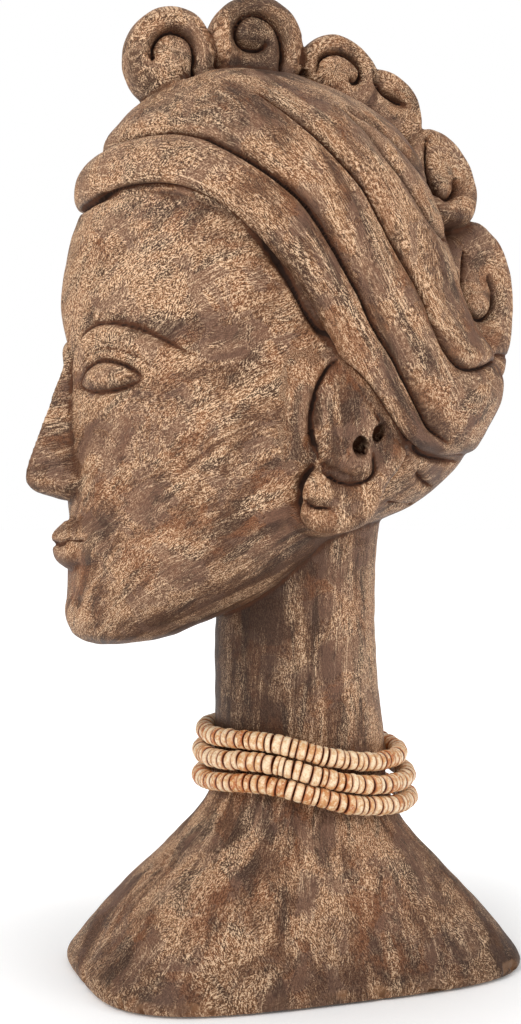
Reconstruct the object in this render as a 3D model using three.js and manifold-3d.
// A carved wooden bust of a woman with a wrapped head, and three strands of beads round her neck.
// Millimetres, +Z up. She faces -Y and her left side is +X. The origin is on the underside,
// below the axis of the neck.
import * as THREE from 'three';
import { mergeVertices } from 'three/addons/utils/BufferGeometryUtils.js';
import Module from 'manifold-3d';

const wasm = await Module();
wasm.setup();

// Driving sizes
const pointsAround = 22;
const wrapBottom = 258;
const bandFrontEdge = 431;
const grooveWidth = 7;
const grooveDepth = 5;
const grooveClear = 7;
const crestRootHalf = 13;
const crestRootRise = 4;
const crestRounding = 6;
const crestEngraving = 4.5;
const foldSteps = 7;
const padPoints = 12;
const backCurlPoints = 13;
const earHoles = [{ y: 1.5, z: 296 }, { y: 10.5, z: 303.5 }];
const earHoleRadius = 4.8;
const earHoleBottom = 78;

// Levels of the base and neck: half width across, half length front to back, centre and squareness
const bodyLevels = [
  { z: 0, half: 87.5, length: 126, middle: -5, power: 3.6 },
  { z: 4, half: 88.5, length: 127, middle: -5, power: 3.6 },
  { z: 14, half: 85, length: 121, middle: -5, power: 3.5 },
  { z: 30, half: 78, length: 109, middle: -5, power: 3.3 },
  { z: 45, half: 71, length: 96, middle: -5, power: 3.1 },
  { z: 60, half: 63.5, length: 82, middle: -4, power: 2.8 },
  { z: 75, half: 56, length: 68, middle: -4, power: 2.5 },
  { z: 89, half: 52, length: 58, middle: -2, power: 2.1 },
  { z: 103, half: 49, length: 51.5, middle: -0.5, power: 2 },
  { z: 125, half: 47.5, length: 50, middle: 0, power: 2 },
  { z: 160, half: 46, length: 48, middle: -2, power: 2 },
  { z: 215, half: 46, length: 46.5, middle: -3, power: 2 },
  { z: 300, half: 50, length: 50, middle: 2, power: 2 },
];

// Levels of the head inside the wrap, from the chin up
const headLevels = [
  { z: 188, front: -122, back: -104, half: 12, middle: -113, power: 2 },
  { z: 191, front: -131, back: -88, half: 27, middle: -108, power: 2 },
  { z: 200, front: -136, back: -62, half: 40, middle: -96, power: 2.1 },
  { z: 215, front: -137, back: -26, half: 52, middle: -80, power: 2.2 },
  { z: 248, front: -136, back: 20, half: 67, middle: -48, power: 2.2 },
  { z: 262, front: -136, back: 58, half: 71, middle: -34, power: 2.2 },
  { z: 280, front: -137, back: 86, half: 75, middle: -24, power: 2.2 },
  { z: 305, front: -138, back: 104, half: 79, middle: -16, power: 2.2 },
  { z: 340, front: -139, back: 110, half: 82, middle: -10, power: 2.2 },
  { z: 400, front: -138, back: 86, half: 81, middle: -8, power: 2.2 },
  { z: 434, front: -126, back: 70, half: 76, middle: -12, power: 2.2 },
  { z: 440, front: -118, back: 62, half: 70, middle: -14, power: 2.1 },
];

// Levels of the cloth wrapped round the head
const wrapLevels = [
  { z: 258, front: -60, back: 48, half: 42, middle: 0, power: 2.1 },
  { z: 266, front: -80, back: 66, half: 60, middle: 0, power: 2.2 },
  { z: 277, front: -100, back: 80, half: 72, middle: 0, power: 2.2 },
  { z: 290, front: -125, back: 96, half: 81, middle: 0, power: 2.2 },
  { z: 312, front: -137, back: 114, half: 88, middle: 0, power: 2.15 },
  { z: 335, front: -142, back: 124, half: 91, middle: 0, power: 2.1 },
  { z: 350, front: -143, back: 120, half: 92, middle: 0, power: 2.1 },
  { z: 368, front: -143, back: 104, half: 92, middle: 0, power: 2.1 },
  { z: 390, front: -142, back: 93, half: 92, middle: -2, power: 2.1 },
  { z: 412, front: -138, back: 86, half: 91, middle: -4, power: 2.1 },
  { z: 434, front: -132, back: 78, half: 89, middle: -8, power: 2.1 },
  { z: 455, front: -126, back: 71, half: 84, middle: -12, power: 2.1 },
  { z: 475, front: -113, back: 62, half: 74, middle: -16, power: 2 },
  { z: 492, front: -97, back: 43, half: 57, middle: -22, power: 2 },
  { z: 505, front: -79, back: 16, half: 38, middle: -28, power: 2 },
  { z: 514.5, front: -44, back: -18, half: 8, middle: -31, power: 2 },
];

// Folds of the wrap: turn in degrees from the front towards the side, and height
const bandEdge = [
  [0, bandFrontEdge], [36, bandFrontEdge], [56, 423], [71, 399], [81, 367], [86, 340], [92, 321], [98, 307],
  [106, 296], [125, 290], [150, 292], [180, 293],
];
const lowFold = [
  [0, 461], [34, 462], [56, 455], [74, 435], [84, 403], [91, 363], [100, 330], [110, 308], [122, 300],
];
const middleFold = [
  [64, 489], [80, 467], [92, 439], [100, 398], [106, 377], [113, 351], [120, 340], [140, 342],
];
const highFold = [[98, 487], [104, 470], [108, 436], [113, 415], [122, 410]];

// Curls of the crest in side view: centre, half sizes, half width across, lean in degrees,
// and the groove that winds in to the eye
const crestCurls = [
  {
    y: -80.5, z: 519, long: 29, short: 25, half: 17.6, lean: 75,
    eye: [-77, 529], turns: 1.1, from: 260, hand: 1,
  },
  {
    y: -28, z: 530, long: 30, short: 27.5, half: 18.4, lean: 88,
    eye: [-29, 537], turns: 1.4, from: 290, hand: 1,
  },
  {
    y: 25, z: 517, long: 26, short: 21, half: 16.8, lean: -42,
    eye: [22, 519], turns: 1.15, from: 220, hand: 1,
  },
  {
    y: 54, z: 499.5, long: 26, short: 18.5, half: 15.2, lean: -58,
    eye: [61, 500], turns: 0.6, from: 120, hand: 1,
  },
];

// Curls down the back of the head, wider where they grow out of it: outline in side view,
// half width at the rim and at the root, and the groove round the eye
const backCurls = [
  {
    outline: [
      [75, 490], [86, 491], [98, 484], [107.5, 471], [110.5, 455], [108, 441], [101, 432], [88, 428],
      [70, 430], [58, 448], [60, 472],
    ],
    y: 88, z: 458, long: 27, short: 18, half: 15, rootHalf: 46, lean: -66,
    eye: [88, 463], turns: 0.9, from: 60, hand: -1,
  },
  {
    outline: [
      [98, 433], [111, 438], [122, 432], [131.5, 420], [137, 402], [137.5, 378], [135, 358], [130, 343],
      [114, 332], [88, 338], [67, 362], [64, 393], [76, 420],
    ],
    y: 110, z: 392, long: 38, short: 20, half: 16, rootHalf: 48, lean: -84,
    eye: [112, 398], turns: 0.9, from: 60, hand: -1,
  },
];
const backCurlRoot = { y: 0, z: 372 };

// Strands of beads: height on the neck axis, reach of the string, how far the ring lies back of the
// axis, its drop to the back and to the left, and how far it rides up at the front left
const beadRadius = 5.6;
const grooveRadius = 3.7;
const strands = [
  {
    name: 'bead_strand_upper', z: 128.2, reach: 56.5, back: 1.1, beads: 84,
    backDrop: 5.4, sideDrop: 4.7, lift: 6.1,
  },
  {
    name: 'bead_strand_middle', z: 116, reach: 59.9, back: 2.4, beads: 86,
    backDrop: 5.7, sideDrop: 5.1, lift: 7.2,
  },
  {
    name: 'bead_strand_lower', z: 102.1, reach: 60.7, back: 2.8, beads: 88,
    backDrop: 5.7, sideDrop: 2.7, lift: 7.5,
  },
];
// The lift: its middle and its spread, in degrees round from the front towards the left
const liftTurn = 51;
const liftSpread = 34;

const radians = THREE.MathUtils.degToRad;

// Value of one measure at a height, on a smooth line through the levels
function measureAt(levels, key, z) {
  const last = levels.length - 1;
  let i = 0;
  while (i < last - 1 && levels[i + 1].z < z) i += 1;
  const before = levels[Math.max(i - 1, 0)];
  const low = levels[i];
  const high = levels[i + 1];
  const after = levels[Math.min(i + 2, last)];
  const span = high.z - low.z;
  const t = THREE.MathUtils.clamp((z - low.z) / span, 0, 1);
  const slopeLow = ((high[key] - before[key]) / (high.z - before.z)) * span;
  const slopeHigh = ((after[key] - low[key]) / (after.z - low.z)) * span;
  const rise = t * t * (3 - 2 * t);
  return low[key] * (1 - rise) + high[key] * rise
    + slopeLow * t * (1 - t) ** 2 - slopeHigh * t * t * (1 - t);
}

// A point of a level's outline: turn 0 faces the front, 90 the left side
function outlinePoint(levels, turn, z) {
  const middle = measureAt(levels, 'middle', z);
  const half = measureAt(levels, 'half', z);
  const bend = 2 / measureAt(levels, 'power', z);
  const c = Math.cos(radians(turn));
  const s = Math.sin(radians(turn));
  let reach;
  if ('length' in levels[0]) reach = measureAt(levels, 'length', z);
  else if (c > 0) reach = middle - measureAt(levels, 'front', z);
  else reach = measureAt(levels, 'back', z) - middle;
  return new THREE.Vector3(
    half * Math.sign(s) * Math.abs(s) ** bend,
    middle - reach * Math.sign(c) * Math.abs(c) ** bend,
    z,
  );
}

function outwardAt(levels, turn, z) {
  const along = outlinePoint(levels, turn + 1, z).sub(outlinePoint(levels, turn - 1, z));
  const up = outlinePoint(levels, turn, z + 1).sub(outlinePoint(levels, turn, z - 1));
  return along.cross(up).normalize();
}

// Depth of the face at a place across and a height, and its outward direction there
function facePoint(x, z) {
  const half = measureAt(headLevels, 'half', z);
  const sine = Math.min(Math.abs(x) / half, 1) ** (measureAt(headLevels, 'power', z) / 2);
  const turn = THREE.MathUtils.radToDeg(Math.asin(sine)) * Math.sign(x || 1);
  return outlinePoint(headLevels, turn, z);
}

function faceOutward(x, z) {
  const across = facePoint(x + 1, z).sub(facePoint(x - 1, z));
  const up = facePoint(x, z + 1).sub(facePoint(x, z - 1));
  return across.cross(up).normalize();
}

// Closed skin over rings of points that all have the same count
function skin(rings) {
  const count = rings[0].length;
  const positions = [];
  const faces = [];
  const centre = (ring) => ring.reduce((sum, p) => sum.add(p), new THREE.Vector3()).divideScalar(count);
  for (const ring of rings) ring.forEach((p) => positions.push(p.x, p.y, p.z));
  const ends = [centre(rings[0]), centre(rings[rings.length - 1])];
  ends.forEach((p) => positions.push(p.x, p.y, p.z));
  const bottom = rings.length * count;
  const top = bottom + 1;
  const lastRing = (rings.length - 1) * count;
  for (let j = 0; j < count; j += 1) {
    const next = (j + 1) % count;
    faces.push(bottom, next, j, top, lastRing + j, lastRing + next);
    for (let i = 0; i + 1 < rings.length; i += 1) {
      const a = i * count + j;
      const b = i * count + next;
      faces.push(a, b, b + count, a, b + count, a + count);
    }
  }
  const geometry = new THREE.BufferGeometry();
  geometry.setAttribute('position', new THREE.Float32BufferAttribute(positions, 3));
  geometry.setIndex(faces);
  return geometry;
}

function solidOf(geometry) {
  const bare = geometry.clone();
  bare.deleteAttribute('normal');
  bare.deleteAttribute('uv');
  const merged = mergeVertices(bare, 1e-4);
  const solid = new wasm.Manifold(new wasm.Mesh({
    numProp: 3,
    vertProperties: Float32Array.from(merged.attributes.position.array),
    triVerts: Uint32Array.from(merged.index.array),
  }));
  return solid.volume() < 0 ? solidOf(flipped(merged)) : solid;
}

function flipped(geometry) {
  const turned = geometry.clone();
  const order = Array.from(geometry.index.array);
  for (let i = 0; i < order.length; i += 3) [order[i], order[i + 1]] = [order[i + 1], order[i]];
  turned.setIndex(order);
  return turned;
}

function geometryOf(solid) {
  const mesh = solid.getMesh();
  const geometry = new THREE.BufferGeometry();
  geometry.setAttribute('position', new THREE.BufferAttribute(Float32Array.from(mesh.vertProperties), 3));
  geometry.setIndex(Array.from(mesh.triVerts));
  return geometry;
}

function levelSolid(levels, heights, count) {
  const rings = heights.map((z) => Array.from({ length: count }, (_, i) => (
    outlinePoint(levels, (360 * i) / count, z)
  )));
  return solidOf(skin(rings));
}

const union = (solids) => solids.reduce((sum, s) => sum.add(s));
const onBothSides = (make) => [make(1), make(-1)];

// A flat piece drawn in side view, y then z, as thick as the two given places across
function sideSlab(shape, fromX, toX, rounding = 0) {
  const settings = { depth: toX - fromX - 2 * rounding, curveSegments: 6, steps: 1 };
  if (rounding > 0) {
    Object.assign(settings, { bevelThickness: rounding, bevelSize: rounding, bevelOffset: -rounding });
    settings.bevelSegments = 1;
  } else {
    settings.bevelEnabled = false;
  }
  const geometry = new THREE.ExtrudeGeometry(shape, settings);
  geometry.rotateX(Math.PI / 2);
  geometry.rotateZ(Math.PI / 2);
  geometry.translate(fromX + rounding, 0, 0);
  return solidOf(geometry);
}

function smoothPath(places, steps) {
  const curve = new THREE.CatmullRomCurve3(places.map(([a, b]) => new THREE.Vector3(a, b, 0)));
  return curve.getPoints(steps).map((p) => [p.x, p.y]);
}

// A V-shaped cut that follows points on a surface, each with its outward direction
function grooveAlong(points, outwards, width = grooveWidth, depth = grooveDepth) {
  const last = points.length - 1;
  const rings = points.map((p, i) => {
    const forward = points[Math.min(i + 1, last)].clone().sub(points[Math.max(i - 1, 0)]).normalize();
    const across = new THREE.Vector3().crossVectors(forward, outwards[i]).normalize();
    const fade = i === 0 || i === last ? 0.35 : 1;
    const flare = (width / 2) * fade * (1 + grooveClear / depth);
    return [
      p.clone().addScaledVector(outwards[i], grooveClear).addScaledVector(across, flare),
      p.clone().addScaledVector(outwards[i], -depth * fade),
      p.clone().addScaledVector(outwards[i], grooveClear).addScaledVector(across, -flare),
    ];
  });
  return solidOf(skin(rings));
}

function foldGroove(places, steps, side) {
  const path = smoothPath(places, steps);
  const points = path.map(([turn, z]) => outlinePoint(wrapLevels, side * turn, z));
  const outwards = path.map(([turn, z]) => outwardAt(wrapLevels, side * turn, z));
  return grooveAlong(points, outwards);
}

// Base and neck
function makeBody() {
  return levelSolid(bodyLevels, bodyLevels.map((level) => level.z), pointsAround);
}

// Head inside the wrap
function makeHead() {
  return levelSolid(headLevels, headLevels.map((level) => level.z), pointsAround);
}

// The wrap is the outer head above its rolled lower edge, which is cut by a curved sheet
function makeWrap() {
  const outer = levelSolid(wrapLevels, wrapLevels.map((level) => level.z), pointsAround);
  const edge = smoothPath(bandEdge, 14).map(([turn, z]) => outlinePoint(wrapLevels, turn, z));
  const below = new THREE.Shape();
  const farOut = 60;
  below.moveTo(edge[0].y - farOut, edge[0].z);
  edge.forEach((p) => below.lineTo(p.y, p.z));
  const nape = edge[edge.length - 1];
  below.lineTo(nape.y, wrapBottom - farOut);
  below.lineTo(edge[0].y - farOut, wrapBottom - farOut);
  const nearlySide = 120;
  return outer.subtract(sideSlab(below, -nearlySide, nearlySide));
}

function foldGrooves(side) {
  return union([lowFold, middleFold, highFold].map((places) => foldGroove(places, foldSteps, side)));
}

// One curl of the crest: a thick disc with a groove winding in on both of its sides
function makeCurl(curl) {
  const outline = new THREE.Shape();
  outline.absellipse(curl.y, curl.z, curl.long, curl.short, 0, 2 * Math.PI, false, radians(curl.lean));
  const disc = sideSlab(outline, -curl.half, curl.half, crestRounding);
  return onBothSides((side) => curlGroove(curl, side)).reduce((left, cut) => left.subtract(cut), disc);
}

// Half width of a back curl at a place in side view
function backCurlHalf(curl, y, z) {
  const away = (p) => Math.hypot(p[0] - backCurlRoot.y, p[1] - backCurlRoot.z);
  const farthest = Math.max(...curl.outline.map(away));
  const nearest = Math.min(...curl.outline.map(away));
  const inward = THREE.MathUtils.clamp((farthest - away([y, z])) / (farthest - nearest), 0, 1);
  return THREE.MathUtils.lerp(curl.half, curl.rootHalf, inward);
}

// A back curl: rings of its outline across the head, drawn in a little at both faces
function makeBackCurl(curl) {
  const path = new THREE.CatmullRomCurve3(curl.outline.map(([y, z]) => new THREE.Vector3(0, y, z)), true);
  const places = path.getPoints(backCurlPoints).slice(0, backCurlPoints);
  const eye = new THREE.Vector3(0, curl.y, curl.z);
  const ringAt = (across, share) => places.map((p) => {
    const drawn = p.clone().lerp(eye, 1 - share);
    return drawn.setX(across * backCurlHalf(curl, drawn.y, drawn.z));
  });
  const body = solidOf(skin([ringAt(-1, 0.75), ringAt(-0.7, 1), ringAt(0.7, 1), ringAt(1, 0.75)]));
  return onBothSides((side) => curlGroove(curl, side)).reduce((left, cut) => left.subtract(cut), body);
}

function curlGroove(curl, side) {
  const steps = 6;
  const halfAt = (y, z) => (curl.outline ? backCurlHalf(curl, y, z) : curl.half);
  const lean = radians(curl.lean);
  const outerShare = 0.62;
  const innerShare = 0.16;
  const points = Array.from({ length: steps + 1 }, (_, i) => {
    const t = i / steps;
    const angle = radians(curl.from + curl.hand * curl.turns * 360 * t);
    const share = THREE.MathUtils.lerp(outerShare, innerShare, t);
    const along = share * curl.long * Math.cos(angle);
    const across = share * curl.short * Math.sin(angle);
    const y = THREE.MathUtils.lerp(curl.y, curl.eye[0], t) + along * Math.cos(lean) - across * Math.sin(lean);
    const z = THREE.MathUtils.lerp(curl.z, curl.eye[1], t) + along * Math.sin(lean) + across * Math.cos(lean);
    return new THREE.Vector3(side * halfAt(y, z), y, z);
  });
  return grooveAlong(points, points.map(() => new THREE.Vector3(side, 0, 0)), 5, crestEngraving);
}

// The root of the crest closes the bottoms of the gaps between the curls
function makeCrestRoot() {
  const root = new THREE.Shape();
  root.moveTo(0, 420);
  [...crestCurls, ...backCurls].forEach((curl) => root.lineTo(curl.y, curl.z + crestRootRise));
  return sideSlab(root, -crestRootHalf, crestRootHalf);
}

// A pad drawn in side view that stands out sideways and is drawn in a little at its face
function sidePad(places, side, inside, outside, drawnIn) {
  const curve = new THREE.CatmullRomCurve3(places.map(([y, z]) => new THREE.Vector3(0, y, z)), true);
  const outline = curve.getPoints(padPoints).slice(0, padPoints);
  const centre = outline.reduce((sum, p) => sum.add(p), new THREE.Vector3()).divideScalar(padPoints);
  const ringAt = (x, share) => outline.map((p) => (
    p.clone().lerp(centre, 1 - share).setX(side * x)
  ));
  const shoulder = outside - 0.4 * drawnIn * (outside - inside);
  return solidOf(skin([ringAt(inside, 1), ringAt(shoulder, 1), ringAt(outside, 1 - drawnIn)]));
}

// An ear: the large shell under the wrap, and the lobe below it
function makeEar(side) {
  const shell = [
    [-13, 345], [-26, 327], [-30, 306], [-25, 286], [-12, 277], [4, 275], [22, 284], [26, 300], [6, 326],
  ];
  const lobe = [[-23, 291], [-35, 281], [-37, 263], [-30, 249], [-13, 245], [5, 252], [18, 270], [14, 290]];
  const inside = 50;
  return sidePad(shell, side, inside, 91, 0.25).add(sidePad(lobe, side, inside, 83, 0.3));
}

function makeEarHole(hole, side) {
  const outside = 100;
  const drill = new THREE.CylinderGeometry(earHoleRadius, earHoleRadius, outside - earHoleBottom, 10);
  drill.rotateZ(Math.PI / 2);
  drill.translate(side * (outside + earHoleBottom) / 2, hole.y, hole.z);
  return solidOf(drill);
}

// The face is a calm general one: brow at a third of its height, foot of the nose at two thirds
const faceTop = bandFrontEdge;
const faceBottom = 188;
const faceThird = (faceTop - faceBottom) / 3;
const browHeight = faceTop - faceThird;
const noseFoot = browHeight - faceThird;
const lipLine = noseFoot - faceThird / 3;
const eyeHeight = browHeight - faceThird / 5;
const eyeApart = 36;
const eyeHalfLength = 17;

function roundBody(centre, radii, around = 8, rows = 5) {
  const ball = new THREE.SphereGeometry(1, around, rows);
  ball.scale(radii[0], radii[1], radii[2]);
  ball.translate(centre[0], centre[1], centre[2]);
  return solidOf(ball);
}

function makeNose() {
  const foot = facePoint(0, noseFoot).y;
  const levels = [
    { z: noseFoot - 1, half: 10, tip: foot - 10 },
    { z: noseFoot + 5, half: 17, tip: foot - 23 },
    { z: noseFoot + 14, half: 15, tip: foot - 24 },
    { z: noseFoot + 34, half: 9.5, tip: foot - 15 },
    { z: browHeight - 16, half: 7, tip: foot - 8 },
    { z: browHeight + 6, half: 8, tip: foot - 2 },
  ];
  const rings = levels.map(({ z, half, tip }) => [
    new THREE.Vector3(-half, foot + 4, z),
    new THREE.Vector3(-half * 0.8, (foot + tip) / 2, z),
    new THREE.Vector3(-half * 0.35, tip, z),
    new THREE.Vector3(half * 0.35, tip, z),
    new THREE.Vector3(half * 0.8, (foot + tip) / 2, z),
    new THREE.Vector3(half, foot + 4, z),
    new THREE.Vector3(0, foot + 25, z),
  ]);
  return solidOf(skin(rings));
}

function makeLips() {
  const front = facePoint(0, lipLine).y;
  const mound = roundBody([0, front + 9, lipLine], [34, 12, 19], 8, 5);
  const upper = roundBody([0, front + 4, lipLine + 5], [23, 10, 5.6]);
  const lower = roundBody([0, front + 4.5, lipLine - 5.4], [20, 10.5, 6]);
  const chin = roundBody([0, front + 11, faceBottom + 18], [26, 14, 17]);
  return union([mound, upper, lower, chin]);
}

function makeEye(side) {
  const lid = facePoint(side * eyeApart, eyeHeight);
  const ball = roundBody([0, 0, 0], [eyeHalfLength, 5, 7.5], 8, 4);
  return ball.rotate([0, 0, side * 24]).translate([lid.x, lid.y + 0.5, lid.z]);
}

function browGroove(side) {
  const arc = [[7, 334], [10, 350], [26, 361], [46, 363], [64, 353], [74, 336]];
  const path = smoothPath(arc, 5);
  const points = path.map(([x, z]) => facePoint(side * x, z));
  const outwards = path.map(([x, z]) => faceOutward(side * x, z));
  return grooveAlong(points, outwards, 6, 3.5);
}

function lidGroove(side) {
  const turns = Array.from({ length: 8 }, (_, i) => (2 * Math.PI * i) / 7 + 0.2);
  const places = turns.map((a) => [eyeApart + 22 * Math.cos(a), eyeHeight + 11 * Math.sin(a)]);
  const points = places.map(([x, z]) => facePoint(side * x, z));
  const outwards = places.map(([x, z]) => faceOutward(side * x, z));
  return grooveAlong(points, outwards, 4, 2.5);
}

function makeBust() {
  const head = union([makeHead(), makeNose(), makeLips()]);
  const carvedFace = onBothSides((side) => browGroove(side).add(lidGroove(side)))
    .reduce((left, cut) => left.subtract(cut), head);
  const withEyes = union([carvedFace, ...onBothSides(makeEye), ...onBothSides(makeEar)]);
  const drilled = onBothSides((side) => union(earHoles.map((hole) => makeEarHole(hole, side))))
    .reduce((left, cut) => left.subtract(cut), withEyes);
  const wrap = onBothSides(foldGrooves).reduce((left, cut) => left.subtract(cut), makeWrap());
  const curls = [...crestCurls.map(makeCurl), ...backCurls.map(makeBackCurl)];
  return union([drilled, makeBody(), wrap, makeCrestRoot(), ...curls]);
}

// One strand: a ring of flat beads that touch face to face, each with a crest between two grooves
function makeStrand(strand) {
  const sides = 6;
  const rings = strand.beads * 2;
  const positions = [];
  const centreAt = (turn) => {
    const awayFromLift = ((turn + Math.PI - radians(liftTurn)) % (2 * Math.PI)) - Math.PI;
    const lifted = strand.lift * Math.exp(-((awayFromLift / radians(liftSpread)) ** 2));
    return new THREE.Vector3(
      strand.reach * Math.sin(turn),
      strand.back - strand.reach * Math.cos(turn),
      strand.z + strand.backDrop * Math.cos(turn) - strand.sideDrop * Math.sin(turn) + lifted,
    );
  };
  const starts = [];
  for (let i = 0; i < rings; i += 1) {
    const turn = (2 * Math.PI * i) / rings;
    const crest = i % 2 === 0;
    const count = crest ? sides : sides / 2;
    const radius = crest ? beadRadius : grooveRadius;
    const centre = centreAt(turn);
    starts.push(positions.length / 3);
    for (let j = 0; j < count; j += 1) {
      const angle = (2 * Math.PI * j) / count + Math.PI / 2;
      const out = radius * Math.cos(angle);
      positions.push(
        centre.x + out * Math.sin(turn),
        centre.y - out * Math.cos(turn),
        centre.z + radius * Math.sin(angle),
      );
    }
  }
  const faces = [];
  for (let i = 0; i < rings; i += 1) {
    const crestFirst = i % 2 === 0;
    const crest = starts[crestFirst ? i : (i + 1) % rings];
    const groove = starts[crestFirst ? (i + 1) % rings : i];
    for (let j = 0; j < sides / 2; j += 1) {
      const a = crest + 2 * j;
      const b = crest + 2 * j + 1;
      const c = crest + ((2 * j + 2) % sides);
      const g = groove + j;
      const h = groove + ((j + 1) % (sides / 2));
      const fan = [[a, b, g], [b, h, g], [b, c, h]];
      fan.forEach(([p, q, r]) => faces.push(...(crestFirst ? [p, q, r] : [p, r, q])));
    }
  }
  const geometry = new THREE.BufferGeometry();
  geometry.setAttribute('position', new THREE.Float32BufferAttribute(positions, 3));
  geometry.setIndex(faces);
  return solidOf(geometry);
}

const wood = new THREE.MeshStandardMaterial({ color: 0x6f5440, roughness: 0.75, metalness: 0 });
const beadWood = () => new THREE.MeshStandardMaterial({ color: 0xd8b48c, roughness: 0.5, metalness: 0 });

const bust = new THREE.Group();
const carved = new THREE.Mesh(geometryOf(makeBust()), wood);
carved.name = 'carved_bust';
bust.add(carved);
strands.forEach((strand) => {
  const mesh = new THREE.Mesh(geometryOf(makeStrand(strand)), beadWood());
  mesh.name = strand.name;
  bust.add(mesh);
});

export default bust;
